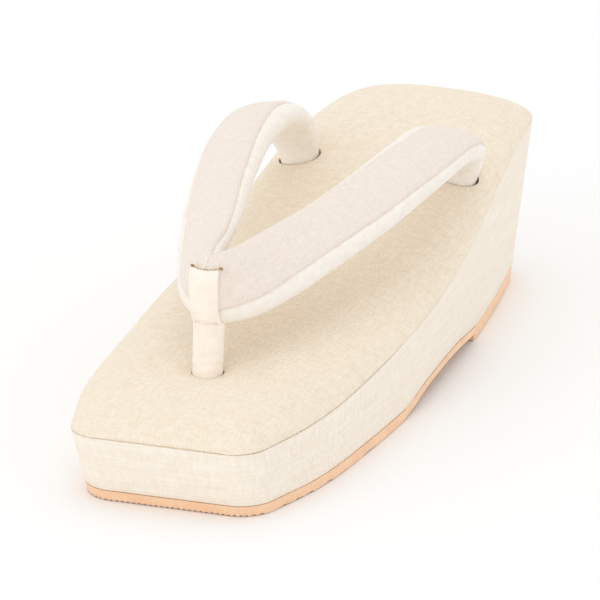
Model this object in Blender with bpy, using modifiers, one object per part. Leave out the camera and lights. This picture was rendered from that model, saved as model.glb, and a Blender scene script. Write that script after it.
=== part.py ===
"""Zori sandal: a wedge platform sandal with a padded top, a padded V strap and a toe post.

Metres, +Z up. The toe points along -Y and the heel along +Y. The origin is on the floor, under the
middle of the sandal. The tables hold lengths as shares of the named sizes that they follow.
"""
import math
from collections import namedtuple

import bmesh
import bpy
import numpy as np
from mathutils import Vector

# Sole: plan, heights and walls
FOOTBED_LENGTH = 0.240
BALL_HALF_WIDTH = 0.0414
TOE_SEAM_HEIGHT = 0.0227
HEEL_RISE = 0.0262
TOE_CORNER = 0.008
HEEL_CORNER = 0.0095
TOE_RAKE = 0.008
HEEL_RAKE = 0.012
SIDE_RAKE = 0.0017

# Padded top: how high it domes above its seam, and over what distance from its edge
PAD_HEIGHT = 0.009
PAD_ROLL = 0.025

# Rubber under the wedge
FOREFOOT_RUBBER = 0.0034
ARCH_RUBBER = 0.0023
ARCH_LIFT = 0.0047
HEEL_BREAK = 0.727

# Strap and toe post
STRAP_WIDTH = 0.0215
STRAP_THICKNESS = 0.0094
STRAP_LIFT = 0.036
STRAP_SQUARENESS = 2.4
ROOT_DEPTH = 0.003
ROOT_MARGIN = 0.0025
POST_RADIUS = 0.0048
POST_SHARE = 0.172
POST_DEPTH = 0.004
LOOP_WIDTH = 0.0098
LOOP_WALL = 0.0013
LOOP_BOW = 0.0024
LOOP_SINK = 0.0003

# Clearance between pieces that touch
JOINT_GAP = 0.0003

# Mesh fineness, with how near one another rows of the sole may lie as a share of a side step
COLUMNS = 16
CORNER_STEPS = 5
SIDE_STEPS = 20
ROW_SPACING = 0.3
ROUND_POINTS = 20
STRAP_STEPS = 30
STRAP_SAMPLES = 120
ROOT_STEPS = 6
LOOP_STEPS = 4
POST_SIDES = 24
SHARP_ANGLE = 35
WELD = 0.000001

# Half the run over which the strap's direction is measured
RUN_STEP = 0.00024

# Padded top seen from above and from the side: width is a share of BALL_HALF_WIDTH, rise of HEEL_RISE
SoleRow = namedtuple("SoleRow", "along width rise")
SOLE_ROWS = (
    SoleRow(0.000, 0.708, 0.000),
    SoleRow(0.055, 0.794, 0.004),
    SoleRow(0.120, 0.893, 0.017),
    SoleRow(0.190, 0.949, 0.035),
    SoleRow(0.270, 0.975, 0.067),
    SoleRow(0.400, 1.000, 0.157),
    SoleRow(0.560, 0.973, 0.318),
    SoleRow(0.640, 0.947, 0.473),
    SoleRow(0.720, 0.914, 0.701),
    SoleRow(0.800, 0.866, 0.908),
    SoleRow(0.880, 0.799, 0.994),
    SoleRow(1.000, 0.674, 1.000),
)

# Underside up to the heel block, which is as thick as the last row is high: lift is a share of
# ARCH_LIFT, slim goes from FOREFOOT_RUBBER at 0 to ARCH_RUBBER at 1
ArchRow = namedtuple("ArchRow", "along lift slim")
ARCH_ROWS = (
    ArchRow(0.000, 0.00, 0.0),
    ArchRow(0.380, 0.00, 0.0),
    ArchRow(0.420, 0.04, 0.1),
    ArchRow(0.480, 0.66, 0.8),
    ArchRow(0.550, 0.95, 1.0),
    ArchRow(0.630, 0.98, 1.0),
    ArchRow(0.727, 0.50, 1.0),
)

# One arm of the strap, from past the mitre at the V to its root in the footbed. across is a share of
# the root's own distance from the middle, along of FOOTBED_LENGTH, lift of STRAP_LIFT above the seam,
# wide of STRAP_WIDTH and thick of STRAP_THICKNESS. facing is the way the outer edge points in plan,
# bank how far it drops.
StrapRow = namedtuple("StrapRow", "across along lift facing bank wide thick")
STRAP_ROWS = (
    StrapRow(-0.258, 0.176, 0.930, -78, 92, 1.00, 1.00),
    StrapRow(0.000, 0.184, 0.930, -62, 88, 1.00, 1.00),
    StrapRow(0.212, 0.2125, 0.928, -30, 70, 1.00, 1.00),
    StrapRow(0.402, 0.270, 0.940, -19, 50, 1.00, 1.00),
    StrapRow(0.556, 0.333, 0.962, -15, 35, 1.00, 1.00),
    StrapRow(0.842, 0.458, 1.003, -13, 24, 1.00, 1.00),
    StrapRow(1.026, 0.580, 0.992, -8, 17, 1.00, 1.00),
    StrapRow(1.062, 0.664, 0.840, -2, 12, 0.99, 1.00),
    StrapRow(1.054, 0.718, 0.570, 2, 7, 0.91, 1.02),
    StrapRow(1.018, 0.741, 0.305, 2, 3, 0.78, 1.04),
    StrapRow(1.002, 0.744, 0.120, 0, 0, 0.71, 1.04),
    StrapRow(1.000, 0.744, 0.000, 0, 0, 0.70, 1.04),
)


def smooth(places, values, place):
    """Value at a place on a smooth curve through a few values."""
    places, values = np.array(places), np.array(values)
    slopes = np.gradient(values, places)
    left = int(np.clip(np.searchsorted(places, place) - 1, 0, len(places) - 2))
    span = places[left + 1] - places[left]
    t = (place - places[left]) / span
    start = (1 + 2 * t) * (1 - t) ** 2 * values[left] + t * (1 - t) ** 2 * span * slopes[left]
    end = t * t * (3 - 2 * t) * values[left + 1] - t * t * (1 - t) * span * slopes[left + 1]
    return float(start + end)


def column(rows, name):
    """One named column of a table."""
    return [getattr(row, name) for row in rows]


def sole_value(name, share):
    """Value of a column of SOLE_ROWS at a share of the length."""
    return smooth(column(SOLE_ROWS, "along"), column(SOLE_ROWS, name), min(max(share, 0.0), 1.0))


def seam_height(share):
    """Height of the seam between the padded top and the side wall."""
    return TOE_SEAM_HEIGHT + HEEL_RISE * sole_value("rise", share)


def corner_cut(depth, radius):
    """How far a rounded corner draws the side in, at a depth from the end."""
    if depth >= radius:
        return 0.0
    return radius - math.sqrt(radius ** 2 - (radius - depth) ** 2)


def wall_point(share, across, height):
    """Point at a height inside the raked walls. across runs from -1 to 1 between the two sides."""
    fall = 1 - height / seam_height(share)
    front = TOE_RAKE * fall
    back = FOOTBED_LENGTH - HEEL_RAKE * fall
    along = front + share * (back - front)
    drop = seam_height(share) - height
    half = BALL_HALF_WIDTH * sole_value("width", share) - SIDE_RAKE * drop / TOE_SEAM_HEIGHT
    half -= corner_cut(along - front, TOE_CORNER) + corner_cut(back - along, HEEL_CORNER)
    return Vector((half * across, along - FOOTBED_LENGTH / 2, height))


def arch_value(name, share):
    """Value of a column of ARCH_ROWS, which ends where the heel block starts."""
    return smooth(column(ARCH_ROWS, "along"), column(ARCH_ROWS, name), min(share, HEEL_BREAK))


def rubber_bottom(share):
    """Height of the underside of the rubber: flat at the forefoot and heel, raised in the arch."""
    return ARCH_LIFT * max(arch_value("lift", share), 0.0) if share < HEEL_BREAK else 0.0


def rubber_top(share):
    """Height of the top of the rubber."""
    slim = min(max(arch_value("slim", share), 0.0), 1.0)
    thickness = FOREFOOT_RUBBER + (ARCH_RUBBER - FOREFOOT_RUBBER) * slim
    return ARCH_LIFT * max(arch_value("lift", share), 0.0) + thickness


def swell(distance):
    """Share of the pad's height at a distance from its edge: a quarter ellipse."""
    left = 1 - min(max(distance, 0.0) / PAD_ROLL, 1.0)
    return math.sqrt(1 - left ** 2)


def pad_point(share, across):
    """Point on the domed top of the pad."""
    edge = wall_point(share, across, seam_height(share))
    half = abs(wall_point(share, 1.0, seam_height(share)).x)
    along = share * FOOTBED_LENGTH
    end = min(along, FOOTBED_LENGTH - along)
    edge.z += PAD_HEIGHT * swell(half * (1 - abs(across))) * swell(end)
    return edge


def sole_shares(start, end):
    """Places of the cross rows, close together round the toe and heel corners."""
    shares = []
    for step in range(CORNER_STEPS + 1):
        turn = 1 - math.cos(math.pi / 2 * step / CORNER_STEPS)
        shares.append(TOE_CORNER * turn / FOOTBED_LENGTH)
        shares.append(1 - HEEL_CORNER * turn / FOOTBED_LENGTH)
    first = TOE_CORNER / FOOTBED_LENGTH
    last = 1 - HEEL_CORNER / FOOTBED_LENGTH
    shares += [first + (last - first) * step / SIDE_STEPS for step in range(1, SIDE_STEPS)]
    margin = ROW_SPACING / SIDE_STEPS
    inside = [share for share in shares if start + margin < share < end - margin]
    corners = [share for share in shares if share <= margin or share >= 1 - margin]
    kept = [share for share in corners if start <= share <= end]
    return sorted(set([start, end] + inside + kept))


def patch(mesh, shares, place):
    """A grid across the sole, one row for each share, each corner put where place says."""
    rows = len(shares) - 1
    made = bmesh.ops.create_grid(mesh, x_segments=COLUMNS, y_segments=rows, size=0.5)
    for corner in made["verts"]:
        share = shares[round((corner.co.y + 0.5) * rows)]
        corner.co = place(share, math.sin(corner.co.x * math.pi))
    return made["verts"]


def rim(mesh, corners):
    """Open edges of a patch."""
    own = set(corners)
    return [edge for edge in mesh.edges if edge.is_boundary and edge.verts[0] in own]


def finish(mesh, name, collection, material):
    """Turn a bmesh into a named object with outward faces."""
    bmesh.ops.recalc_face_normals(mesh, faces=mesh.faces)
    data = bpy.data.meshes.new(name)
    mesh.to_mesh(data)
    mesh.free()
    piece = bpy.data.objects.new(name, data)
    collection.objects.link(piece)
    if material:
        data.materials.append(material)
        data.shade_smooth()
        data.set_sharp_from_angle(angle=math.radians(SHARP_ANGLE))
    return piece


def slab(name, shares, lower, upper, collection, material):
    """A closed layer between two surfaces across the sole."""
    mesh = bmesh.new()
    below = patch(mesh, shares, lower)
    above = patch(mesh, shares, upper)
    bmesh.ops.bridge_loops(mesh, edges=rim(mesh, below) + rim(mesh, above))
    return finish(mesh, name, collection, material)


def pad(name, shares, collection, material):
    """The padded top: its flat base and its domed cover meet in one edge, the seam."""
    mesh = bmesh.new()
    patch(mesh, shares, lambda share, across: wall_point(share, across, seam_height(share)))
    patch(mesh, shares, pad_point)
    bmesh.ops.remove_doubles(mesh, verts=mesh.verts, dist=WELD)
    return finish(mesh, name, collection, material)


def strap_places():
    """Distance of each strap row from the first one, measured along the arm."""
    places = [0.0]
    for before, after in zip(STRAP_ROWS, STRAP_ROWS[1:]):
        places.append(places[-1] + (strap_centre(after) - strap_centre(before)).length)
    return places


def root_reach():
    """Distance of a root from the middle: its outer edge lies ROOT_MARGIN inside the seam."""
    root = STRAP_ROWS[-1]
    edge = BALL_HALF_WIDTH * sole_value("width", root.along)
    return edge - ROOT_MARGIN - STRAP_WIDTH / 2 * root.wide


def strap_centre(row):
    """Middle of the strap at a row. The last row lies in its hole, below the seam."""
    height = seam_height(row.along) + STRAP_LIFT * row.lift
    if row is STRAP_ROWS[-1]:
        height -= ROOT_DEPTH
    return Vector((root_reach() * row.across, FOOTBED_LENGTH * (row.along - 0.5), height))


def strap_spine(place):
    """Middle of the strap at a distance along the arm."""
    places = strap_places()
    centres = [strap_centre(row) for row in STRAP_ROWS]
    return Vector([smooth(places, [centre[axis] for centre in centres], place) for axis in range(3)])


def strap_run(place):
    """Direction of the strap at a distance along the arm."""
    return (strap_spine(place + RUN_STEP) - strap_spine(place - RUN_STEP)).normalized()


def strap_ring(place, grow=0.0):
    """Corners of the padded section at a distance along the arm."""
    places = strap_places()
    facing, bank, wide, thick = (smooth(places, column(STRAP_ROWS, name), place)
                                 for name in ("facing", "bank", "wide", "thick"))
    centre = strap_spine(place)
    run = strap_run(place)
    turn, drop = math.radians(facing), math.radians(bank)
    side = Vector((math.cos(turn) * math.cos(drop), math.sin(turn) * math.cos(drop), -math.sin(drop)))
    side = (side - run * side.dot(run)).normalized()
    face = run.cross(side)
    half_wide = STRAP_WIDTH / 2 * wide + grow
    half_thick = STRAP_THICKNESS / 2 * thick + grow
    return [centre + side * half_wide * a + face * half_thick * b for a, b in round_section()]


def round_section():
    """Corners of a unit padded section, fuller than an ellipse."""
    corners = []
    for step in range(ROUND_POINTS):
        angle = 2 * math.pi * step / ROUND_POINTS
        a, b = math.cos(angle), math.sin(angle)
        power = 2 / STRAP_SQUARENESS
        corners.append((math.copysign(abs(a) ** power, a), math.copysign(abs(b) ** power, b)))
    return corners


def tube(mesh, rings, open_start=False):
    """Skin a row of rings and close its ends."""
    loops = [[mesh.verts.new(corner) for corner in ring] for ring in rings]
    for before, after in zip(loops, loops[1:]):
        for step in range(len(before)):
            ahead = (step + 1) % len(before)
            mesh.faces.new((before[step], before[ahead], after[ahead], after[step]))
    mesh.faces.new(loops[-1])
    if not open_start:
        mesh.faces.new(loops[0])


def strap_rows():
    """Cross rows of the right arm, whose lengthwise lines each start on the middle plane."""
    length = strap_places()[-1]
    rings = np.array([strap_ring(length * step / STRAP_SAMPLES) for step in range(STRAP_SAMPLES + 1)])
    steps = np.arange(STRAP_SAMPLES + 1)
    lines = []
    for corner in range(ROUND_POINTS):
        line = rings[:, corner]
        before = np.nonzero(line[:, 0] <= 0)[0][-1]
        start = before + line[before, 0] / (line[before, 0] - line[before + 1, 0])
        stops = start + (STRAP_SAMPLES - start) * np.arange(STRAP_STEPS + 1) / STRAP_STEPS
        lines.append(np.stack([np.interp(stops, steps, line[:, axis]) for axis in range(3)], axis=1))
    rows = np.stack(lines, axis=1)
    rows[0, :, 0] = 0.0
    return rows


def strap(name, collection, material):
    """Both arms of the strap: one swept arm and its mirror image, joined at the mitre."""
    mesh = bmesh.new()
    tube(mesh, strap_rows(), open_start=True)
    piece = finish(mesh, name, collection, material)
    mirror = piece.modifiers.new("Other arm", "MIRROR")
    mirror.use_axis = (True, False, False)
    mirror.merge_threshold = WELD
    return piece


def root_cutter(name, side, collection):
    """Hole through the pad and into the wedge that follows the last three strap rows down."""
    first, last = strap_places()[-3], strap_places()[-1]
    rings = [strap_ring(first + (last - first) * step / ROOT_STEPS, JOINT_GAP)
             for step in range(ROOT_STEPS + 1)]
    rings.append([corner - Vector((0.0, 0.0, JOINT_GAP)) for corner in rings[-1]])
    mesh = bmesh.new()
    tube(mesh, [[Vector((corner.x * side, corner.y, corner.z)) for corner in ring] for ring in rings])
    return finish(mesh, name, collection, None)


def post_foot():
    """Where the post's axis meets the seam level."""
    return Vector((0.0, FOOTBED_LENGTH * (POST_SHARE - 0.5), seam_height(POST_SHARE)))


def loop_centre():
    """Middle of the loop round the mitre of the strap."""
    return strap_spine(strap_places()[1])


def mitre_depth():
    """Half the depth of the strap where the mitre cuts it, front to back."""
    return STRAP_THICKNESS / 2 / strap_run(strap_places()[1]).x


def loop_low():
    """Lowest point of the loop's middle line."""
    return loop_centre() - Vector((0.0, 0.0, STRAP_WIDTH / 2 - LOOP_SINK))


def post(name, grow, top, collection):
    """Round post between its seat in the wedge and the bottom of the loop."""
    foot = post_foot()
    run = (top - foot).normalized()
    low = foot - run * (POST_DEPTH + grow)
    high = top + run * grow
    turn = run.to_track_quat("Z", "Y").to_euler()
    bpy.ops.mesh.primitive_cylinder_add(vertices=POST_SIDES, radius=POST_RADIUS + grow,
                                        depth=(high - low).length, location=(low + high) / 2,
                                        rotation=turn)
    piece = bpy.context.object
    piece.name = name
    piece.data.name = name
    for owner in piece.users_collection:
        owner.objects.unlink(piece)
    collection.objects.link(piece)
    return piece


def loop(name, width, wall, collection, material):
    """Flat band round the mitre: an open sleeve with a wall on both sides of its middle line."""
    centre = loop_centre()
    mesh = bmesh.new()
    lines = []
    for bend in range(LOOP_STEPS + 1):
        across = width * (bend / LOOP_STEPS - 0.5)
        bow = LOOP_BOW * (across / (LOOP_WIDTH / 2)) ** 2
        line = []
        for a, b in round_section():
            depth = b * (mitre_depth() - LOOP_SINK)
            offset = Vector((across, bow - depth, -a * (STRAP_WIDTH / 2 - LOOP_SINK)))
            line.append(mesh.verts.new(centre + offset))
        lines.append(line)
    for before, after in zip(lines, lines[1:]):
        for step in range(ROUND_POINTS):
            ahead = (step + 1) % ROUND_POINTS
            mesh.faces.new((before[step], before[ahead], after[ahead], after[step]))
    piece = finish(mesh, name, collection, material)
    thicken = piece.modifiers.new("Wall", "SOLIDIFY")
    thicken.thickness = wall
    thicken.offset = 0.0
    return piece


def boolean(piece, other, operation):
    """Cut, or join, one object with another."""
    cut = piece.modifiers.new(other.name, "BOOLEAN")
    cut.object = other
    cut.operation = operation
    cut.solver = "EXACT"


def principled(name, colour, roughness):
    """A plain Principled material."""
    material = bpy.data.materials.new(name)
    material.use_nodes = True
    shader = material.node_tree.nodes["Principled BSDF"]
    shader.inputs["Base Color"].default_value = (*colour, 1.0)
    shader.inputs["Roughness"].default_value = roughness
    shader.inputs["Metallic"].default_value = 0.0
    material.diffuse_color = (*colour, 1.0)
    return material


def new_collection(name):
    """A collection linked to the scene."""
    collection = bpy.data.collections.new(name)
    bpy.context.scene.collection.children.link(collection)
    return collection


def main():
    for item in list(bpy.data.objects):
        bpy.data.objects.remove(item, do_unlink=True)

    sandal = new_collection("zori_sandal")
    cutters = new_collection("cutters")
    tan_rubber = principled("tan_rubber", (0.80, 0.50, 0.30), 0.55)
    side_cloth = principled("side_cloth", (0.90, 0.82, 0.66), 0.85)
    top_cloth = principled("top_cloth", (0.90, 0.80, 0.58), 0.85)
    strap_cloth = principled("strap_cloth", (0.90, 0.82, 0.74), 0.80)
    smooth_leather = principled("smooth_leather", (0.92, 0.83, 0.68), 0.50)

    whole = sole_shares(0.0, 1.0)
    slab("forefoot_outsole", sole_shares(0.0, HEEL_BREAK - JOINT_GAP / FOOTBED_LENGTH),
         lambda share, across: wall_point(share, across, rubber_bottom(share)),
         lambda share, across: wall_point(share, across, rubber_top(share)), sandal, tan_rubber)
    slab("heel_block", sole_shares(HEEL_BREAK, 1.0),
         lambda share, across: wall_point(share, across, 0.0),
         lambda share, across: wall_point(share, across, rubber_top(share)), sandal, tan_rubber)
    wedge = slab("wedge_body", whole,
                 lambda share, across: wall_point(share, across, rubber_top(share) + JOINT_GAP),
                 lambda share, across: wall_point(share, across, seam_height(share) - JOINT_GAP),
                 sandal, side_cloth)
    footbed = pad("footbed", whole, sandal, top_cloth)

    arms = strap("hanao_strap", sandal, strap_cloth)
    toe_loop = loop("toe_post", LOOP_WIDTH, LOOP_WALL, sandal, smooth_leather)
    boolean(toe_loop, post("post_stem", 0.0, loop_low(), cutters), "UNION")

    loop_cutter = loop("loop_cutter", LOOP_WIDTH + 2 * JOINT_GAP, LOOP_WALL + 2 * JOINT_GAP, cutters, None)
    boolean(arms, loop_cutter, "DIFFERENCE")
    holes = [root_cutter("right_root_hole", 1, cutters), root_cutter("left_root_hole", -1, cutters)]
    holes.append(post("post_hole", JOINT_GAP, loop_low(), cutters))
    for hole in holes:
        boolean(footbed, hole, "DIFFERENCE")
        boolean(wedge, hole, "DIFFERENCE")

    for cutter in cutters.objects:
        cutter.hide_render = True
        cutter.display_type = "WIRE"


main()
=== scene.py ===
import math
from functools import lru_cache

import bmesh
import bpy
import numpy as np
from mathutils import Matrix, Vector


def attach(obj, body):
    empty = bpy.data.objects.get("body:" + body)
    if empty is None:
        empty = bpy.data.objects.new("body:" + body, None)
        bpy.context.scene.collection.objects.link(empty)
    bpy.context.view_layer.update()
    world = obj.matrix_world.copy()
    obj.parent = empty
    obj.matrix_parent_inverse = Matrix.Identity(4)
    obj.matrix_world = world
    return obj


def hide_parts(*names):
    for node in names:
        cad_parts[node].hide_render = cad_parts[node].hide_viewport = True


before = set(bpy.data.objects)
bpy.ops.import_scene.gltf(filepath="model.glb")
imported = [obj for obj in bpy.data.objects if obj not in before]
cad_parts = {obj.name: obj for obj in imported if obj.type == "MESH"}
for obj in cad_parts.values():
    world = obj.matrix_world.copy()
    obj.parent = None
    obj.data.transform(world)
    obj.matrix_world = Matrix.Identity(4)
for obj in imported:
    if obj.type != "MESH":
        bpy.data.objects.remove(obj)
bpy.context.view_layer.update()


# Rubber sole. A thin moulded sheet of tan rubber lies under toe, ball and arch, finely ribbed on its
# underside, and a thicker rubber block stands under the heel. Both are glued to the wrapped wedge.

CAD_TOUCHING = 0.00001
TREAD_PITCH = 0.0009
TREAD_DEPTH = 0.0004
TREAD_REACH = 0.039
HEEL_BEVEL = 0.0005
SHARP_CORNER = 40


def copy_of(node, name):
    """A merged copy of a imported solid, alone selected, with quads where they can be made."""
    bpy.ops.object.select_all(action="DESELECT")
    piece = bpy.data.objects.new(name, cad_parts[node].data.copy())
    piece.data.name = name
    bpy.context.scene.collection.objects.link(piece)
    bpy.context.view_layer.objects.active = piece
    piece.select_set(True)
    bpy.ops.object.mode_set(mode="EDIT")
    bpy.ops.mesh.select_all(action="SELECT")
    bpy.ops.mesh.remove_doubles(threshold=CAD_TOUCHING)
    bpy.ops.mesh.tris_convert_to_quads(face_threshold=math.radians(25), shape_threshold=math.radians(60))
    bpy.ops.object.mode_set(mode="OBJECT")
    return piece


def pick_edges(piece, wanted):
    """In edit mode, select only the edges that wanted says."""
    bpy.ops.object.mode_set(mode="EDIT")
    bpy.ops.mesh.select_mode(type="EDGE")
    mesh = bmesh.from_edit_mesh(piece.data)
    for face in mesh.faces:
        face.select = False
    for edge in mesh.edges:
        edge.select = False
    for edge in mesh.edges:
        if wanted(edge):
            edge.select = True
    bmesh.update_edit_mesh(piece.data)


def tint(red, green, blue):
    """A colour as read off the sandal, 0 to 255, made linear."""
    return tuple(((part / 255 + 0.055) / 1.055) ** 2.4 for part in (red, green, blue)) + (1.0,)


def finish_piece(piece, material, angle=40):
    """Give a finished piece its material, its smooth shading and its place on the sandal."""
    piece.data.materials.clear()
    piece.data.materials.append(material)
    bpy.ops.object.select_all(action="DESELECT")
    bpy.context.view_layer.objects.active = piece
    piece.select_set(True)
    bpy.ops.object.shade_smooth_by_angle(angle=math.radians(angle))
    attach(piece, "root")


def plain_material(name, colour, roughness):
    """A Principled material; returns it with its nodes, links and shader."""
    material = bpy.data.materials.new(name)
    material.use_nodes = True
    nodes, links = material.node_tree.nodes, material.node_tree.links
    shader = nodes["Principled BSDF"]
    shader.inputs["Base Color"].default_value = colour
    shader.inputs["Roughness"].default_value = roughness
    return material, nodes, links, shader


def put(nodes, kind, **settings):
    """A new node with its settings: capitalised names are inputs, with _ for a space."""
    node = nodes.new(kind)
    for name, value in settings.items():
        if name[0].isupper():
            node.inputs[name.replace("_", " ")].default_value = value
        else:
            setattr(node, name, value)
    return node


def put_shades(nodes, low, dark, high, light):
    """A colour ramp from dark to light."""
    ramp = put(nodes, "ShaderNodeValToRGB")
    ramp.color_ramp.elements[0].position = low
    ramp.color_ramp.elements[0].color = dark
    ramp.color_ramp.elements[1].position = high
    ramp.color_ramp.elements[1].color = light
    return ramp


rubber, nodes, links, shader = plain_material("moulded tan rubber", tint(240, 196, 156), 0.55)
place = put(nodes, "ShaderNodeTexCoord")
mottle = put(nodes, "ShaderNodeTexNoise", Scale=160.0, Detail=4.0, Roughness=0.6)
links.new(place.outputs["Object"], mottle.inputs["Vector"])
shades = put_shades(nodes, 0.3, tint(247, 202, 164), 0.7, tint(254, 217, 182))
links.new(mottle.outputs["Fac"], shades.inputs["Fac"])
links.new(shades.outputs["Color"], shader.inputs["Base Color"])
grain = put(nodes, "ShaderNodeTexNoise", Scale=1400.0, Detail=2.0)
links.new(place.outputs["Object"], grain.inputs["Vector"])
bump = put(nodes, "ShaderNodeBump", Strength=0.25, Distance=0.0003)
links.new(grain.outputs["Fac"], bump.inputs["Height"])
links.new(bump.outputs["Normal"], shader.inputs["Normal"])

sheet = copy_of("forefoot_outsole", "ribbed_toe_sheet")
bpy.ops.object.mode_set(mode="EDIT")
rib_count = int(TREAD_REACH / TREAD_PITCH)
for rib in range(-rib_count, rib_count + 1):
    bpy.ops.mesh.select_all(action="SELECT")
    bpy.ops.mesh.bisect(plane_co=(rib * TREAD_PITCH, 0.0, 0.0), plane_no=(1.0, 0.0, 0.0))
bpy.ops.object.mode_set(mode="OBJECT")
for corner in sheet.data.vertices:
    rib = corner.co.x / TREAD_PITCH
    on_rib = abs(rib - round(rib)) < 0.01 and round(rib) % 2
    if on_rib and corner.co.z < CAD_TOUCHING:
        corner.co.z += TREAD_DEPTH
finish_piece(sheet, rubber, angle=25)
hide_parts("forefoot_outsole")

heel = copy_of("heel_block", "heel_rubber_block")
pick_edges(heel, lambda edge: edge.calc_face_angle(0.0) > math.radians(SHARP_CORNER))
bpy.ops.mesh.bevel(offset=HEEL_BEVEL, segments=3, affect="EDGES")
bpy.ops.object.mode_set(mode="OBJECT")
finish_piece(heel, rubber)
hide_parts("heel_block")


# Side cover. The light wedge core is wrapped in one band of cream slub cloth, glued down tight, with
# its grain level. It turns in under the padded top and over the rubber.

SANDAL_LENGTH = 0.240
HALF_WIDTH = 0.0414
TOE_HEIGHT = 0.0227
HEEL_RISE = 0.0262
TOE_CORNER, HEEL_CORNER = 0.008, 0.0095
TOE_RAKE, HEEL_RAKE, SIDE_RAKE = 0.008, 0.012, 0.0017
SOLE_PLAN = (
    # along, width, rise
    (0.000, 0.708, 0.000), (0.055, 0.794, 0.004), (0.120, 0.893, 0.017), (0.190, 0.949, 0.035),
    (0.270, 0.975, 0.067), (0.400, 1.000, 0.157), (0.560, 0.973, 0.318), (0.640, 0.947, 0.473),
    (0.720, 0.914, 0.701), (0.800, 0.866, 0.908), (0.880, 0.799, 0.994), (1.000, 0.674, 1.000),
)
RUBBER_THICK, ARCH_THICK, ARCH_LIFT = 0.0034, 0.0023, 0.0047
ARCH_PLAN = (
    # along, lift, slim
    (0.00, 0.00, 0.0), (0.38, 0.00, 0.0), (0.42, 0.04, 0.1), (0.48, 0.66, 0.8), (0.55, 0.95, 1.0),
    (0.63, 0.98, 1.0), (0.727, 0.50, 1.0),
)
CORNER_STEPS = 16
SIDE_STEPS = 170
END_STEPS = 24
BAND_ROWS = 14
TURN_IN = 0.004
SEAM_GAP = 0.00012
COVER_GAP = 0.0002
COVER_THICK = 0.0006
LOW_EDGE_TALL, LOW_EDGE_DRAWN = 0.0003, 0.00025
TOP_EDGE_TALL = 0.00022
GROOVE_START, GROOVE_FADE = 0.31, 0.13
GROOVE_LEAST, GROOVE_MORE = 0.00004, 0.0003
PULL_ALONG = 0.3
SEWN_TOUCHING = 0.000002


def along_curve(places, values, place):
    """Value at a place on a smooth curve through a few values."""
    slopes = np.gradient(values, places)
    left = int(np.clip(np.searchsorted(places, place) - 1, 0, len(places) - 2))
    span = places[left + 1] - places[left]
    t = (place - places[left]) / span
    start = (1 + 2 * t) * (1 - t) ** 2 * values[left] + t * (1 - t) ** 2 * span * slopes[left]
    return start + t * t * (3 - 2 * t) * values[left + 1] - t * t * (1 - t) * span * slopes[left + 1]


@lru_cache(maxsize=None)
def seam_height(share):
    """Height of the seam under the padded top."""
    plan = np.array(SOLE_PLAN)
    return TOE_HEIGHT + HEEL_RISE * along_curve(plan[:, 0], plan[:, 2], share)


@lru_cache(maxsize=None)
def top_half_width(share):
    """Half width of the sandal at its seam, without its corners."""
    plan = np.array(SOLE_PLAN)
    return HALF_WIDTH * along_curve(plan[:, 0], plan[:, 1], share)


def corner_cut(depth, radius):
    """How far a rounded corner draws the side in, at a depth from the end."""
    if depth >= radius:
        return 0.0
    return radius - math.sqrt(radius ** 2 - (radius - max(depth, 0.0)) ** 2)


def wall_point(share, across, height):
    """Point inside the raked walls, across from -1 to 1 between the two sides."""
    drop = seam_height(share) - height
    front = TOE_RAKE * drop / seam_height(share)
    back = SANDAL_LENGTH - HEEL_RAKE * drop / seam_height(share)
    along = front + share * (back - front)
    half = top_half_width(share) - SIDE_RAKE * drop / TOE_HEIGHT
    half -= corner_cut(along - front, TOE_CORNER) + corner_cut(back - along, HEEL_CORNER)
    return Vector((half * across, along - SANDAL_LENGTH / 2, height))


@lru_cache(maxsize=None)
def rubber_top(share):
    """Height of the top of the rubber."""
    plan = np.array(ARCH_PLAN)
    place = min(share, plan[-1, 0])
    slim = min(max(along_curve(plan[:, 0], plan[:, 2], place), 0.0), 1.0)
    lift = max(along_curve(plan[:, 0], plan[:, 1], place), 0.0)
    return ARCH_LIFT * lift + RUBBER_THICK + (ARCH_THICK - RUBBER_THICK) * slim


def side_shares():
    """Places along the sandal, close together round the toe and heel corners."""
    shares = []
    for step in range(CORNER_STEPS + 1):
        turn = 1 - math.cos(math.pi / 2 * step / CORNER_STEPS)
        shares.append(TOE_CORNER * turn / SANDAL_LENGTH)
        shares.append(1 - HEEL_CORNER * turn / SANDAL_LENGTH)
    first, last = TOE_CORNER / SANDAL_LENGTH, 1 - HEEL_CORNER / SANDAL_LENGTH
    shares += [first + (last - first) * step / SIDE_STEPS for step in range(1, SIDE_STEPS)]
    return sorted(shares)


def seam_groove(share):
    """Depth of the sewn groove: crisp round the toe, almost gone past the ball of the foot."""
    fade = min(max((share - GROOVE_START) / GROOVE_FADE, 0.0), 1.0)
    return GROOVE_LEAST + GROOVE_MORE * (1 - fade * fade * (3 - 2 * fade))


def inward_from(spot):
    """Level direction from a spot at the edge to the middle of the sandal."""
    return Vector((-spot.x, -spot.y * PULL_ALONG, 0.0)).normalized()


def band_level(row, tall):
    """Height of a row of the side cover above its lower edge: three close rows at each edge."""
    if row < 3:
        return (0.0, 0.0, LOW_EDGE_TALL)[row]
    if row > BAND_ROWS - 3:
        return tall - (0.0, 0.0, TOP_EDGE_TALL)[BAND_ROWS - row]
    return tall * (row - 2) / (BAND_ROWS - 4)


def start_grid(name, columns, rows):
    """A flat grid of one unit, alone selected, to be laid over a form."""
    bpy.ops.object.select_all(action="DESELECT")
    bpy.ops.mesh.primitive_grid_add(x_subdivisions=columns, y_subdivisions=rows, size=1.0)
    piece = bpy.context.object
    piece.name = name
    piece.data.name = name
    spots = [(round((corner.co.x + 0.5) * columns), round((corner.co.y + 0.5) * rows))
             for corner in piece.data.vertices]
    return piece, spots


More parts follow.
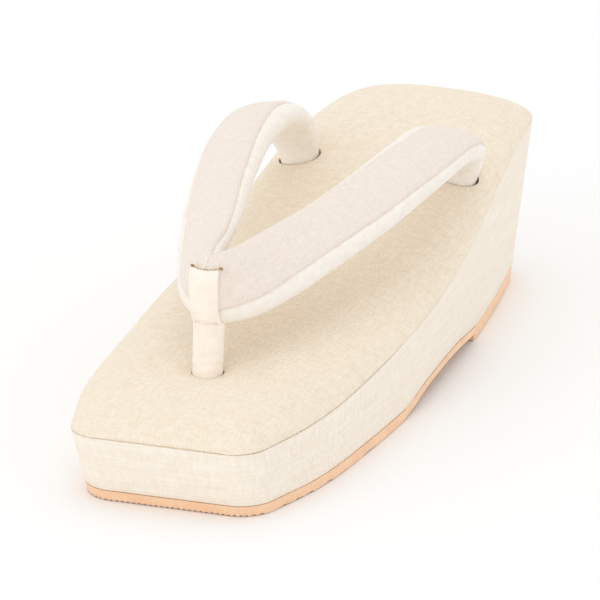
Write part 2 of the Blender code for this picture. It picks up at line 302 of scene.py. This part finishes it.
def merge_all(piece, turn_out=True):
    """Merge touching corners and, if asked, point all faces outwards."""
    bpy.ops.object.mode_set(mode="EDIT")
    bpy.ops.mesh.select_all(action="SELECT")
    bpy.ops.mesh.remove_doubles(threshold=SEWN_TOUCHING)
    if turn_out:
        bpy.ops.mesh.normals_make_consistent(inside=False)
    bpy.ops.object.mode_set(mode="OBJECT")


walk = [(share, 1.0) for share in side_shares()]
walk += [(1.0, 1 - 2 * step / END_STEPS) for step in range(1, END_STEPS)]
walk += [(share, -1.0) for share in reversed(side_shares())]
walk += [(0.0, 2 * step / END_STEPS - 1) for step in range(1, END_STEPS)]
walk.append(walk[0])
run_length = [0.0]
for before, after in zip(walk, walk[1:]):
    gone = wall_point(*after, seam_height(after[0])) - wall_point(*before, seam_height(before[0]))
    run_length.append(run_length[-1] + gone.length)

side, spots = start_grid("wedge_side_cover", len(walk) - 1, BAND_ROWS)
for corner, (column, row) in zip(side.data.vertices, spots):
    share, across = walk[column]
    low = rubber_top(share) + COVER_GAP
    high = seam_height(share) - SEAM_GAP
    spot = wall_point(share, across, low + band_level(row, high - low))
    if row in (0, BAND_ROWS):
        spot += inward_from(spot) * TURN_IN
    elif row == BAND_ROWS - 1:
        spot += inward_from(spot) * seam_groove(share)
    elif row == 1:
        spot += inward_from(spot) * LOW_EDGE_DRAWN
    corner.co = spot
uv = side.data.uv_layers[0]
uv.name = "around"
for loop in side.data.loops:
    column, row = spots[loop.vertex_index]
    uv.data[loop.index].uv = (run_length[column], side.data.vertices[loop.vertex_index].co.z)
merge_all(side)
thick = side.modifiers.new("Cloth", "SOLIDIFY")
thick.thickness = COVER_THICK
thick.offset = -1.0
bpy.ops.object.modifier_apply(modifier=thick.name)

YARN_SWAY = 0.9
THREAD_TONE = 0.07
THREAD_RISE = 0.2


def cloth_material(name, dark, light, coordinate, pitch, weft, warp, relief):
    """A plain weave: threads both ways, uneven yarns in weft and warp, and a soft nap."""
    material, nodes, links, shader = plain_material(name, light, 0.85)
    shader.inputs["Sheen Weight"].default_value = 0.15
    shader.inputs["Sheen Roughness"].default_value = 0.5
    shader.inputs["Specular IOR Level"].default_value = 0.2
    if coordinate == "Object":
        spot = put(nodes, "ShaderNodeTexCoord").outputs["Object"]
    else:
        spot = put(nodes, "ShaderNodeUVMap", uv_map=coordinate).outputs["UV"]
    sway = put(nodes, "ShaderNodeTexNoise", Scale=350.0, Detail=2.0)
    links.new(spot, sway.inputs["Vector"])
    shift = put(nodes, "ShaderNodeVectorMath", operation="MULTIPLY_ADD")
    shift.inputs[1].default_value = (pitch * YARN_SWAY,) * 3
    links.new(sway.outputs["Color"], shift.inputs[0])
    links.new(spot, shift.inputs[2])
    turns = put(nodes, "ShaderNodeVectorMath", operation="SCALE", Scale=math.pi / pitch)
    links.new(shift.outputs["Vector"], turns.inputs["Vector"])
    waves = put(nodes, "ShaderNodeVectorMath", operation="SINE")
    links.new(turns.outputs["Vector"], waves.inputs["Vector"])
    parts = put(nodes, "ShaderNodeSeparateXYZ")
    links.new(waves.outputs["Vector"], parts.inputs["Vector"])
    cross = put(nodes, "ShaderNodeMath", operation="MULTIPLY")
    links.new(parts.outputs["X"], cross.inputs[0])
    links.new(parts.outputs["Y"], cross.inputs[1])
    yarns = []
    for scale in (weft, warp):
        stretch = put(nodes, "ShaderNodeMapping", Scale=scale)
        links.new(spot, stretch.inputs["Vector"])
        yarn = put(nodes, "ShaderNodeTexNoise", Scale=1.0, Detail=2.0, Roughness=0.6)
        links.new(stretch.outputs["Vector"], yarn.inputs["Vector"])
        yarns.append(yarn)
    both = put(nodes, "ShaderNodeMath", operation="ADD")
    links.new(yarns[0].outputs["Fac"], both.inputs[0])
    links.new(yarns[1].outputs["Fac"], both.inputs[1])
    tone = put(nodes, "ShaderNodeMath", operation="MULTIPLY_ADD")
    tone.inputs[1].default_value = THREAD_TONE
    links.new(cross.outputs["Value"], tone.inputs[0])
    links.new(both.outputs["Value"], tone.inputs[2])
    shades = put_shades(nodes, 0.34, dark, 0.66, light)
    halve = put(nodes, "ShaderNodeMath", operation="MULTIPLY")
    halve.inputs[1].default_value = 0.5
    links.new(tone.outputs["Value"], halve.inputs[0])
    links.new(halve.outputs["Value"], shades.inputs["Fac"])
    links.new(shades.outputs["Color"], shader.inputs["Base Color"])
    height = put(nodes, "ShaderNodeMath", operation="MULTIPLY_ADD")
    height.inputs[1].default_value = relief
    links.new(both.outputs["Value"], height.inputs[0])
    links.new(cross.outputs["Value"], height.inputs[2])
    bump = put(nodes, "ShaderNodeBump", Strength=0.3, Distance=pitch * THREAD_RISE)
    links.new(height.outputs["Value"], bump.inputs["Height"])
    links.new(bump.outputs["Normal"], shader.inputs["Normal"])
    return material


side_cloth = cloth_material("cream slub side cloth", tint(242, 229, 211), tint(251, 243, 231), "around",
                            pitch=0.00045, weft=(45.0, 900.0, 45.0), warp=(600.0, 160.0, 160.0),
                            relief=1.0)
finish_piece(side, side_cloth, angle=50)
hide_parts("wedge_body")


# Padded top. Soft foam over the wedge, covered in a cream-yellow plain-weave cloth that is drawn down
# to the seam all round. Three holes are cut through it, for the post and the two strap ends.

PAD_HEIGHT = 0.009
PAD_ROLL = 0.025
PAD_COLUMNS = 96
POST_FOOT = Vector((-0.0005, -0.0787, 0.0))
ROOT_FEET = (Vector((0.0255, 0.0586, 0.0)), Vector((-0.0255, 0.0586, 0.0)))
HOLES = (
    # middle, half width, half length: the post's hole, then those of the two strap ends
    ((-0.0010, -0.0779, 0.0300), 0.0050, 0.0050),
    ((0.0258, 0.0585, 0.0500), 0.0067, 0.0051),
    ((-0.0258, 0.0585, 0.0500), 0.0067, 0.0051),
)
HOLE_TALL = 0.024
POST_DIP, POST_DIP_AT, POST_DIP_WIDE = 0.0013, 0.0042, 0.0032
POST_SAG, POST_SAG_WIDE = 0.0003, 0.016
ROOT_DIP, ROOT_DIP_AT, ROOT_DIP_WIDE = 0.0014, 0.0045, 0.0030
ROOT_OVAL = 1.3
PUFF_FRAMES = 20
PUFF_PRESSURE = 2.0
PUFF_CAP = 0.0007
RIM_HELD, RIM_LEVEL = 0.0015, 0.03
POST_HELD, ROOT_HELD = 0.0065, 0.010


def swell(distance):
    """Share of the pad's height at a distance from its edge: a quarter ellipse."""
    return math.sqrt(1 - (1 - min(max(distance, 0.0) / PAD_ROLL, 1.0)) ** 2)


def lay_on_sole(name, height):
    """A grid from edge to edge of the sole, as high as height says."""
    shares = side_shares()
    edges = [wall_point(share, 1.0, seam_height(share)) for share in shares]
    piece, spots = start_grid(name, PAD_COLUMNS, len(shares) - 1)
    for corner, (column, row) in zip(piece.data.vertices, spots):
        across = math.sin(math.pi * (column / PAD_COLUMNS - 0.5))
        edge = edges[row]
        corner.co = (edge.x * across, edge.y, height(shares[row], across, edge))
        if column in (0, PAD_COLUMNS) or row in (0, len(shares) - 1):
            corner.co += inward_from(corner.co) * seam_groove(shares[row])
    return piece


def pad_height(share, across, edge):
    """Height of the cover, drawn down round the post and the strap ends."""
    along = share * SANDAL_LENGTH
    rim = swell(edge.x * (1 - abs(across))) * swell(min(along, SANDAL_LENGTH - along))
    spot = Vector((edge.x * across, edge.y, 0.0))
    near = (spot - POST_FOOT).length
    dip = POST_DIP * math.exp(-((near - POST_DIP_AT) / POST_DIP_WIDE) ** 2)
    dip += POST_SAG * math.exp(-(near / POST_SAG_WIDE) ** 2)
    for foot in ROOT_FEET:
        beside = Vector(((spot.x - foot.x) / ROOT_OVAL, spot.y - foot.y, 0.0)).length
        dip += ROOT_DIP * math.exp(-((beside - ROOT_DIP_AT) / ROOT_DIP_WIDE) ** 2)
    return edge.z + (PAD_HEIGHT - dip) * rim


def cover_held(spot):
    """Whether the cover is held down at a spot: at its rim, or round one of its holes."""
    half_wide = wall_point((spot.y + SANDAL_LENGTH / 2) / SANDAL_LENGTH, 1.0, RIM_LEVEL).x
    flat = Vector((spot.x, spot.y, 0.0))
    return (abs(spot.x) > abs(half_wide) - RIM_HELD
            or abs(spot.y) > SANDAL_LENGTH / 2 - RIM_HELD
            or (flat - POST_FOOT).length < POST_HELD
            or any((flat - foot).length < ROOT_HELD for foot in ROOT_FEET))


def puff(piece, held, pressure, cap):
    """Blow a cloth cover up a little from inside, with the held corners fixed."""
    before = [corner.co.copy() for corner in piece.data.vertices]
    group = piece.vertex_groups.new(name="held")
    group.add([corner.index for corner in piece.data.vertices if held(corner.co)], 1.0, "REPLACE")
    cloth = piece.modifiers.new("Cloth", "CLOTH")
    cloth.settings.quality = 4
    cloth.settings.vertex_group_mass = "held"
    cloth.settings.use_pressure = True
    cloth.settings.uniform_pressure_force = pressure
    cloth.settings.effector_weights.gravity = 0.0
    cloth.point_cache.frame_end = PUFF_FRAMES
    for moment in range(1, PUFF_FRAMES + 1):
        bpy.context.scene.frame_set(moment)
    shaped = piece.evaluated_get(bpy.context.evaluated_depsgraph_get())
    after = [corner.co.copy() for corner in shaped.data.vertices]
    piece.modifiers.remove(cloth)
    piece.vertex_groups.remove(group)
    bpy.context.scene.frame_set(1)
    for corner, old, new in zip(piece.data.vertices, before, after):
        move = new - old
        if move.length > cap:
            move *= cap / move.length
        if not held(old):
            corner.co = old + move


top = lay_on_sole("padded_top_cover", pad_height)
puff(top, cover_held, PUFF_PRESSURE, PUFF_CAP)
# the flat base is the same grid, turned over and sewn to the cover along its edge
base = lay_on_sole("pad_base", lambda share, across, edge: edge.z)
bpy.ops.object.mode_set(mode="EDIT")
bpy.ops.mesh.select_all(action="SELECT")
bpy.ops.mesh.flip_normals()
bpy.ops.object.mode_set(mode="OBJECT")
bpy.ops.object.select_all(action="DESELECT")
base.select_set(True)
top.select_set(True)
bpy.context.view_layer.objects.active = top
bpy.ops.object.join()
merge_all(top, turn_out=False)
for centre, half_wide, half_long in HOLES:
    bpy.ops.object.select_all(action="DESELECT")
    bpy.ops.mesh.primitive_cylinder_add(vertices=64, radius=1.0, depth=HOLE_TALL, location=centre,
                                        scale=(half_wide, half_long, 1.0))
    punch = bpy.context.object
    hole = top.modifiers.new("Hole", "BOOLEAN")
    hole.object = punch
    # the exact solver turned this dense cover inside out
    hole.solver = "MANIFOLD"
    bpy.context.view_layer.objects.active = top
    bpy.ops.object.modifier_apply(modifier=hole.name)
    bpy.data.objects.remove(punch, do_unlink=True)
top_cloth = cloth_material("cream yellow top cloth", tint(235, 220, 196), tint(246, 235, 218), "Object",
                           pitch=0.00055, weft=(260.0, 1300.0, 260.0), warp=(1300.0, 260.0, 260.0),
                           relief=1.4)
finish_piece(top, top_cloth, angle=60)
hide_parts("footbed")


# V strap. Each arm is a flat padded tube: a white soft lining all round, and a pinkish cream linen
# face sewn over it. The arms meet under the toe loop, and their ends go down into the padded top.

ARM_ROWS = (
    # across, along, up, facing, bank, width, thickness
    (-0.0070, -0.0778, 0.0570, -78, 92, 0.0215, 0.0094),
    (0.0000, -0.0758, 0.0570, -62, 88, 0.0215, 0.0094),
    (0.0058, -0.0690, 0.0572, -30, 70, 0.0215, 0.0094),
    (0.0110, -0.0552, 0.0583, -19, 50, 0.0215, 0.0094),
    (0.0152, -0.0401, 0.0601, -15, 35, 0.0215, 0.0094),
    (0.0230, -0.0101, 0.0641, -13, 24, 0.0215, 0.0094),
    (0.0280, 0.0192, 0.0676, -8, 17, 0.0215, 0.0094),
    (0.0288, 0.0394, 0.0668, -2, 12, 0.0210, 0.0094),
    (0.0280, 0.0523, 0.0612, 2, 7, 0.0184, 0.0096),
    (0.0265, 0.0578, 0.0536, 2, 3, 0.0142, 0.0096),
    (0.0257, 0.0586, 0.0472, 0, 0, 0.0114, 0.0094),
    (0.0255, 0.0586, 0.0398, 0, 0, 0.0108, 0.0092),
)
RIGHT, LEFT = 1, -1
CREST_LIFT = {RIGHT: -0.0012, LEFT: 0.0009}
ARM_FULLNESS = 2.4
ARM_LENGTH = 0.165
LINEN_EDGES = (
    # share of the arm, angle of the linen's outer edge, angle of its inner edge; 90 is its middle
    (0.00, 62, 186), (0.20, 61, 180), (0.25, 58, 171), (0.30, 55, 161), (0.38, 51, 154), (0.46, 47, 150),
    (0.54, 43, 145), (0.62, 37, 138), (0.70, 32, 128), (0.80, 29, 118), (1.00, 26, 108),
)
ARM_STEPS = 190
ARM_SAMPLES = 300
ARM_NUDGE = 0.0002
LINING_LINES = 72
LINING_PITCH = 0.0008
LINING_UNDER, LINING_GROOVE = 0.0009, 0.00045
# degrees round the arm over which the lining dips under the linen, and over which its groove fades
UNDER_EDGE, GROOVE_WIDE = 10, 5
LINEN_LINES = 40
LINEN_PITCH = 0.0006
LINEN_THICK = 0.0003
LINEN_PROUD = 0.00015
LINEN_TUCK, TUCK_WIDE = 0.0006, 0.025


def arm_stations(rows, crest):
    """Centre, side and face directions and half sizes at even places along one arm."""
    table = np.array(rows, float)
    table[:, 2] += crest * np.sin(np.pi * np.linspace(0, 1, len(table))) ** 2
    places = np.concatenate([[0.0], np.cumsum(np.linalg.norm(np.diff(table[:, :3], axis=0), axis=1))])
    stations = []
    for step in range(ARM_SAMPLES + 1):
        place = places[-1] * step / ARM_SAMPLES
        values = [along_curve(places, table[:, column], place) for column in range(7)]
        ahead = [along_curve(places, table[:, column], place + ARM_NUDGE) for column in range(3)]
        behind = [along_curve(places, table[:, column], place - ARM_NUDGE) for column in range(3)]
        run = (Vector(ahead) - Vector(behind)).normalized()
        turn, drop = math.radians(values[3]), math.radians(values[4])
        level = math.cos(drop)
        across = Vector((math.cos(turn) * level, math.sin(turn) * level, -math.sin(drop)))
        across = (across - run * across.dot(run)).normalized()
        stations.append((Vector(values[:3]), across, across.cross(run), values[5] / 2, values[6] / 2))
    return stations


def section_point(angle):
    """Corner of a unit padded section at an angle, fuller than an ellipse."""
    power = 2 / ARM_FULLNESS
    across = math.copysign(abs(math.cos(angle)) ** power, math.cos(angle))
    return across, math.copysign(abs(math.sin(angle)) ** power, math.sin(angle))


def arm_line(stations, angle, grow):
    """One lengthwise line of an arm, from the middle plane to its root. angle and grow follow it."""
    points = []
    for step, (centre, across, face, half_wide, half_thick) in enumerate(stations):
        share = step / ARM_SAMPLES
        a, b = section_point(math.radians(angle(share)))
        rise = grow(share)
        points.append(centre + across * (half_wide + rise) * a + face * (half_thick + rise) * b)
    line = np.array(points)
    before = np.nonzero(line[:, 0] <= 0)[0][-1]
    start = before + line[before, 0] / (line[before, 0] - line[before + 1, 0])
    stops = start + (ARM_SAMPLES - start) * np.arange(ARM_STEPS + 1) / ARM_STEPS
    samples = np.arange(ARM_SAMPLES + 1)
    line = np.stack([np.interp(stops, samples, line[:, axis]) for axis in range(3)], axis=1)
    line[0, 0] = 0.0
    return line


def arm_surface(name, lines, hand, closed, pitch):
    """A surface through lengthwise lines, with a UV map in metres: along, then across."""
    mesh = bmesh.new()
    uv = mesh.loops.layers.uv.new("weave")
    columns = []
    for line in lines:
        columns.append([mesh.verts.new((across * hand, along, up)) for across, along, up in line])
    spans = len(columns) if closed else len(columns) - 1
    step_length = ARM_LENGTH / ARM_STEPS
    for column in range(spans):
        here, there = columns[column], columns[(column + 1) % len(columns)]
        for step in range(ARM_STEPS):
            corners = (here[step], there[step], there[step + 1], here[step + 1])
            if hand == LEFT:
                corners = corners[::-1]
            face = mesh.faces.new(corners)
            for loop in face.loops:
                along = step + (loop.vert in (here[step + 1], there[step + 1]))
                across = column + (loop.vert in (there[step], there[step + 1]))
                loop[uv].uv = (along * step_length, across * pitch)
    if closed:
        mesh.faces.new([column[0] for column in columns])
        mesh.faces.new([column[-1] for column in columns])
        bmesh.ops.recalc_face_normals(mesh, faces=mesh.faces)
    data = bpy.data.meshes.new(name)
    mesh.to_mesh(data)
    mesh.free()
    piece = bpy.data.objects.new(name, data)
    bpy.context.scene.collection.objects.link(piece)
    return piece


def edge_angle(column):
    """How one edge of the linen runs along an arm."""
    table = np.array(LINEN_EDGES, float)
    return lambda share: float(np.interp(share, table[:, 0], table[:, column]))


outer, inner = edge_angle(1), edge_angle(2)


def lining_sink(angle):
    """The lining lies lower under the linen and has a fine groove where the linen is sewn to it."""
    def sink(share):
        inside = (angle - outer(share)) % 360
        width = inner(share) - outer(share)
        if inside <= width:
            edge = min(inside, width - inside)
            return -LINING_UNDER * min(1.0, 0.5 + edge / UNDER_EDGE)
        edge = min(360 - inside, inside - width)
        return -LINING_GROOVE * math.exp(-(edge / GROOVE_WIDE) ** 2)
    return sink


def linen_rise(part):
    """The linen stands full over its middle and is drawn down at both edges."""
    edge = min(part, 1 - part)
    return lambda share: LINEN_PROUD - LINEN_TUCK * math.exp(-(edge / TUCK_WIDE) ** 2)


velvet, nodes, links, shader = plain_material("white soft lining", tint(250, 245, 237), 0.8)
shader.inputs["Sheen Weight"].default_value = 0.3
shader.inputs["Sheen Roughness"].default_value = 0.35
place = put(nodes, "ShaderNodeTexCoord")
nap = put(nodes, "ShaderNodeTexNoise", Scale=900.0, Detail=4.0, Roughness=0.7)
links.new(place.outputs["Object"], nap.inputs["Vector"])
patches = put(nodes, "ShaderNodeTexNoise", Scale=420.0, Detail=3.0)
links.new(place.outputs["Object"], patches.inputs["Vector"])
shades = put_shades(nodes, 0.3, tint(242, 234, 223), 0.7, tint(249, 243, 235))
links.new(patches.outputs["Fac"], shades.inputs["Fac"])
links.new(shades.outputs["Color"], shader.inputs["Base Color"])
bump = put(nodes, "ShaderNodeBump", Strength=0.25, Distance=0.0002)
links.new(nap.outputs["Fac"], bump.inputs["Height"])
links.new(bump.outputs["Normal"], shader.inputs["Normal"])

linen = cloth_material("pinkish cream strap linen", tint(234, 221, 208), tint(244, 233, 223), "weave",
                       pitch=0.0005, weft=(300.0, 1300.0, 300.0), warp=(1300.0, 300.0, 300.0),
                       relief=1.6)

for hand, word in ((RIGHT, "right"), (LEFT, "left")):
    stations = arm_stations(ARM_ROWS, CREST_LIFT[hand])
    lines = []
    for line in range(LINING_LINES):
        angle = 360 * line / LINING_LINES
        lines.append(arm_line(stations, lambda share: angle, lining_sink(angle)))
    lining = arm_surface(word + "_strap_lining", lines, hand, closed=True, pitch=LINING_PITCH)
    finish_piece(lining, velvet, angle=60)

    lines = []
    for line in range(LINEN_LINES + 1):
        part = line / LINEN_LINES
        lines.append(arm_line(stations, lambda share: outer(share) + (inner(share) - outer(share)) * part,
                              linen_rise(part)))
    face = arm_surface(word + "_strap_linen", lines, hand, closed=False, pitch=LINEN_PITCH)
    bpy.context.view_layer.objects.active = face
    thick = face.modifiers.new("Cloth", "SOLIDIFY")
    thick.thickness = LINEN_THICK
    thick.offset = 0.0
    bpy.ops.object.modifier_apply(modifier=thick.name)
    finish_piece(face, linen, angle=60)
    if hand == RIGHT:
        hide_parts("hanao_strap")


# Toe loop and post. A folded band of smooth cream leather comes out of a slit in the V, runs down
# its front and is sewn across to the round leather post, which goes down through the padded top.

LOOP_MIDDLE = Vector((-0.0008, -0.0758, 0.0570))
LOOP_HALF = 0.0045
LOOP_THICK = 0.0009
LOOP_START, LOOP_END = 43, -63
LOOP_TURN = 0.86
LOOP_COLUMNS, LOOP_ROWS = 32, 44
LOOP_EDGE = 0.00025
LOOP_PROUD = 0.0006
SLIT_SINK, SLIT_SHARE = 0.0024, 0.08
SEAM_SHARE = 0.93
SEAM_SWELL, SEAM_WIDE = 0.0003, 0.03
LOOP_SAG, LOOP_CURL = 0.0012, 0.0006
FOLD_RISE, FOLD_AT, FOLD_WIDE = 0.00022, 0.72, 0.07
LOOP_WAIST, WAIST_WIDE = 0.04, 0.3
END_FRONT, END_DOWN = 0.0002, 0.0016
STRAP_DEEP, STRAP_TALL = 0.0055, 0.01075
POST_LOW = Vector((-0.0012, -0.0792, 0.0200))
POST_HIGH = Vector((-0.0008, -0.0762, 0.0478))
POST_RADIUS = 0.0048
POST_CUTS = 40
POST_WAIST = 0.00015
POST_EDGE = 0.0012
CREASE_DEEP, CREASE_AT, CREASE_WIDE = 0.00012, 0.52, 0.12
CREASE_TURNS, CREASE_WANDER = 60, 1.5
HARD_CORNER = 60

leather, nodes, links, shader = plain_material("smooth cream leather", tint(252, 242, 230), 0.48)
shader.inputs["Specular IOR Level"].default_value = 0.4
place = put(nodes, "ShaderNodeTexCoord")
pores = put(nodes, "ShaderNodeTexVoronoi", Scale=1300.0, feature="DISTANCE_TO_EDGE")
links.new(place.outputs["Object"], pores.inputs["Vector"])
patches = put(nodes, "ShaderNodeTexNoise", Scale=240.0, Detail=3.0)
links.new(place.outputs["Object"], patches.inputs["Vector"])
shades = put_shades(nodes, 0.3, tint(248, 235, 220), 0.7, tint(253, 245, 235))
links.new(patches.outputs["Fac"], shades.inputs["Fac"])
links.new(shades.outputs["Color"], shader.inputs["Base Color"])
bump = put(nodes, "ShaderNodeBump", Strength=0.2, Distance=0.0001)
links.new(pores.outputs["Distance"], bump.inputs["Height"])
links.new(bump.outputs["Normal"], shader.inputs["Normal"])


def loop_spot(share, across):
    """A spot on the loop's middle: share from the slit down to the post, across from -1 to 1."""
    turn = min(share / LOOP_TURN, 1.0)
    out, rise = section_point(math.radians(LOOP_START + (LOOP_END - LOOP_START) * turn))
    lift = LOOP_PROUD - SLIT_SINK * max(0.0, 1 - share / SLIT_SHARE) ** 2
    lift += SEAM_SWELL * math.exp(-((share - SEAM_SHARE) / SEAM_WIDE) ** 2)
    down = max(share - LOOP_TURN, 0.0) / (1 - LOOP_TURN)
    sag = LOOP_SAG * across ** 2 + LOOP_CURL * across ** 8
    fold = FOLD_RISE * math.exp(-((across - FOLD_AT) / FOLD_WIDE) ** 2)
    narrow = 1 - LOOP_WAIST * math.exp(-((share - 0.5) / WAIST_WIDE) ** 2)
    along = sag + fold - (STRAP_DEEP + lift) * out - END_FRONT * down
    up = (STRAP_TALL + lift) * rise - END_DOWN * down
    return LOOP_MIDDLE + Vector((LOOP_HALF * across * narrow, along, up))


loop_band, spots = start_grid("toe_loop_band", LOOP_COLUMNS, LOOP_ROWS)
for corner, (column, row) in zip(loop_band.data.vertices, spots):
    corner.co = loop_spot(1 - row / LOOP_ROWS, 2 * column / LOOP_COLUMNS - 1)
thick = loop_band.modifiers.new("Leather", "SOLIDIFY")
thick.thickness = LOOP_THICK
thick.offset = 0.0
bpy.ops.object.modifier_apply(modifier=thick.name)
pick_edges(loop_band, lambda edge: edge.calc_face_angle(0.0) > math.radians(HARD_CORNER))
bpy.ops.mesh.bevel(offset=LOOP_EDGE, segments=2, affect="EDGES")
bpy.ops.object.mode_set(mode="OBJECT")
finish_piece(loop_band, leather, angle=50)

bpy.ops.object.select_all(action="DESELECT")
run = POST_HIGH - POST_LOW
bpy.ops.mesh.primitive_cylinder_add(vertices=64, radius=POST_RADIUS, depth=run.length,
                                    location=(POST_LOW + POST_HIGH) / 2,
                                    rotation=run.to_track_quat("Z", "Y").to_euler())
stem = bpy.context.object
stem.name = "toe_post_stem"
bpy.ops.object.transform_apply(location=True, rotation=True, scale=True)
pick_edges(stem, lambda edge: abs(edge.verts[0].co.z - edge.verts[1].co.z) > 0.01)
bpy.ops.mesh.subdivide(number_cuts=POST_CUTS)
bpy.ops.object.mode_set(mode="OBJECT")
for corner in stem.data.vertices:
    share = (corner.co - POST_LOW).dot(run) / run.length_squared
    middle = POST_LOW + run * share
    out = corner.co - middle
    turn = math.atan2(out.y, out.x)
    ripple = math.sin(share * CREASE_TURNS + CREASE_WANDER * math.sin(turn * 2))
    crease = CREASE_DEEP * ripple * math.exp(-((share - CREASE_AT) / CREASE_WIDE) ** 2)
    waist = -POST_WAIST * math.sin(math.pi * share) ** 2
    corner.co = middle + out * (1 + (crease + waist) / POST_RADIUS)
pick_edges(stem, lambda edge: edge.calc_face_angle(0.0) > math.radians(HARD_CORNER))
bpy.ops.mesh.bevel(offset=POST_EDGE, segments=4, affect="EDGES")
bpy.ops.object.mode_set(mode="OBJECT")
finish_piece(stem, leather, angle=50)
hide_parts("toe_post")


# Stitching. Dark tan thread is sewn in short stitches across the bottom of the loop, to hold the post. A
# row of the same dark stitches runs along the slit in the linen where the loop comes out: partly its
# stitched edge, partly painted shade down in the slit. A dark knot at each end of the slit is painted
# shade in the slit's end holes.

SEAM_STITCHES = 9
SEAM_THREAD = 0.00024
SEAM_OUT = Vector((0.0, -0.0005, -0.0002))
# thickness of the dark row along the slit: partly its stitched edge, partly painted shade in the slit
SLIT_SHADE_THREAD = 0.00013
SLIT_HALF = 0.0046
SLIT_SIDE, SLIT_FRONT, SLIT_RISE = 0.0004, 0.0047, 0.0078
SLIT_BEND = 0.0022
# size and reach of the dark blobs at the slit's ends: painted shade in its end holes
SLIT_END_SHADE_THICK = 0.0005
SLIT_END_SHADE_REACH = Vector((0.0007, 0.0, -0.0002))
STITCH_FILL = 0.46

# the thread colour also serves as painted shade in the slit and in its end holes
thread, nodes, links, shader = plain_material("dark tan thread and slit shade", tint(150, 112, 76), 0.7)
place = put(nodes, "ShaderNodeTexCoord")
twist = put(nodes, "ShaderNodeTexNoise", Scale=2600.0, Detail=2.0)
links.new(place.outputs["Object"], twist.inputs["Vector"])
shades = put_shades(nodes, 0.3, tint(140, 108, 74), 0.7, tint(186, 150, 112))
links.new(twist.outputs["Fac"], shades.inputs["Fac"])
links.new(shades.outputs["Color"], shader.inputs["Base Color"])
bump = put(nodes, "ShaderNodeBump", Strength=0.3, Distance=0.0001)
links.new(twist.outputs["Fac"], bump.inputs["Height"])
links.new(bump.outputs["Normal"], shader.inputs["Normal"])


def stitch_row(name, spots, thick):
    """Short stitches from spot to spot, with a small gap between them, joined."""
    made = []
    for start, end in zip(spots, spots[1:]):
        way = end - start
        bpy.ops.object.select_all(action="DESELECT")
        bpy.ops.mesh.primitive_uv_sphere_add(segments=10, ring_count=8, radius=1.0,
                                             location=(start + end) / 2,
                                             rotation=way.to_track_quat("Z", "Y").to_euler(),
                                             scale=(thick, thick, way.length * STITCH_FILL))
        made.append(bpy.context.object)
    bpy.ops.object.select_all(action="DESELECT")
    for stitch in made:
        stitch.select_set(True)
    bpy.context.view_layer.objects.active = made[0]
    bpy.ops.object.join()
    bpy.ops.object.transform_apply(location=True, rotation=True, scale=True)
    made[0].name = name
    made[0].data.name = name
    finish_piece(made[0], thread, angle=60)


across_loop = [2 * step / SEAM_STITCHES - 1 for step in range(SEAM_STITCHES + 1)]
seam = [loop_spot(SEAM_SHARE, across) + SEAM_OUT for across in across_loop]
stitch_row("cross_seam_stitching", seam, SEAM_THREAD)
# painted shade: this dark row along the slit is partly its stitched edge and partly the shade down in the
# slit
slit = []
for across in across_loop:
    place = Vector((SLIT_SIDE + SLIT_HALF * across, SLIT_BEND * across ** 2 - SLIT_FRONT, SLIT_RISE))
    slit.append(LOOP_MIDDLE + place)
stitch_row("slit_stitching_and_shade", slit, SLIT_SHADE_THREAD)
# painted shade: a dark blob at each end of the slit stands for the shade in its end holes
for spot, word in ((slit[0], "left"), (slit[-1], "right")):
    stitch_row(word + "_slit_end_shade", [spot - SLIT_END_SHADE_REACH, spot + SLIT_END_SHADE_REACH], SLIT_END_SHADE_THICK)


# Floor, light and camera. One pale floor in a bright soft room, with a large soft light from the
# front left and a weaker one from above. The camera stands far off and has a long lens.

FLOOR_SIZE, FLOOR_DOWN = 60.0, 0.0002
ROOM_LIGHT = 0.97
SOFTBOXES = (
    # name, place, size, power
    ("front left softbox", (-0.7, -1.9, 0.9), 1.2, 4.2),
    ("top softbox", (0.1, 0.2, 1.8), 1.4, 2.5),
)
LIGHT_AIM = Vector((0.0, 0.0, 0.03))
CAMERA_AZIMUTH, CAMERA_ELEVATION, CAMERA_ROLL = 22.3, 20.75, 1.15
CAMERA_AIM = Vector((0.0, 0.0, 0.025))
CAMERA_LEFT, CAMERA_UP = 0.0025, 0.0012
CAMERA_AWAY = 7.5
CAMERA_LENS = 1490.0

bpy.ops.object.select_all(action="DESELECT")
bpy.ops.mesh.primitive_plane_add(size=FLOOR_SIZE, location=(0.0, 0.0, -FLOOR_DOWN))
floor = bpy.context.object
floor.name = "studio_floor"
paper, nodes, links, shader = plain_material("white paper", (0.95, 0.95, 0.95, 1.0), 0.9)
floor.data.materials.append(paper)

world = bpy.data.worlds.new("soft room")
world.use_nodes = True
world.node_tree.nodes["Background"].inputs["Color"].default_value = (1.0, 1.0, 1.0, 1.0)
world.node_tree.nodes["Background"].inputs["Strength"].default_value = ROOM_LIGHT
bpy.context.scene.world = world
bpy.context.scene.view_settings.view_transform = "Standard"

for name, place, size, power in SOFTBOXES:
    lamp = bpy.data.lights.new(name, "AREA")
    lamp.shape = "SQUARE"
    lamp.size = size
    lamp.energy = power
    holder = bpy.data.objects.new(name, lamp)
    bpy.context.scene.collection.objects.link(holder)
    holder.location = place
    holder.rotation_euler = (LIGHT_AIM - Vector(place)).to_track_quat("-Z", "Y").to_euler()

turn = (Matrix.Rotation(math.radians(CAMERA_AZIMUTH), 3, "Z")
        @ Matrix.Rotation(math.radians(90 - CAMERA_ELEVATION), 3, "X")
        @ Matrix.Rotation(math.radians(-CAMERA_ROLL), 3, "Z"))
right, up, back = turn.col[0], turn.col[1], turn.col[2]
camera = bpy.data.cameras.new("camera")
camera.sensor_width = 36.0
camera.lens = CAMERA_LENS
camera.clip_start = 1.0
camera.clip_end = 40.0
tripod = bpy.data.objects.new("camera", camera)
bpy.context.scene.collection.objects.link(tripod)
tripod.location = CAMERA_AIM - right * CAMERA_LEFT + up * CAMERA_UP + back * CAMERA_AWAY
tripod.rotation_euler = turn.to_euler()
bpy.context.scene.camera = tripod
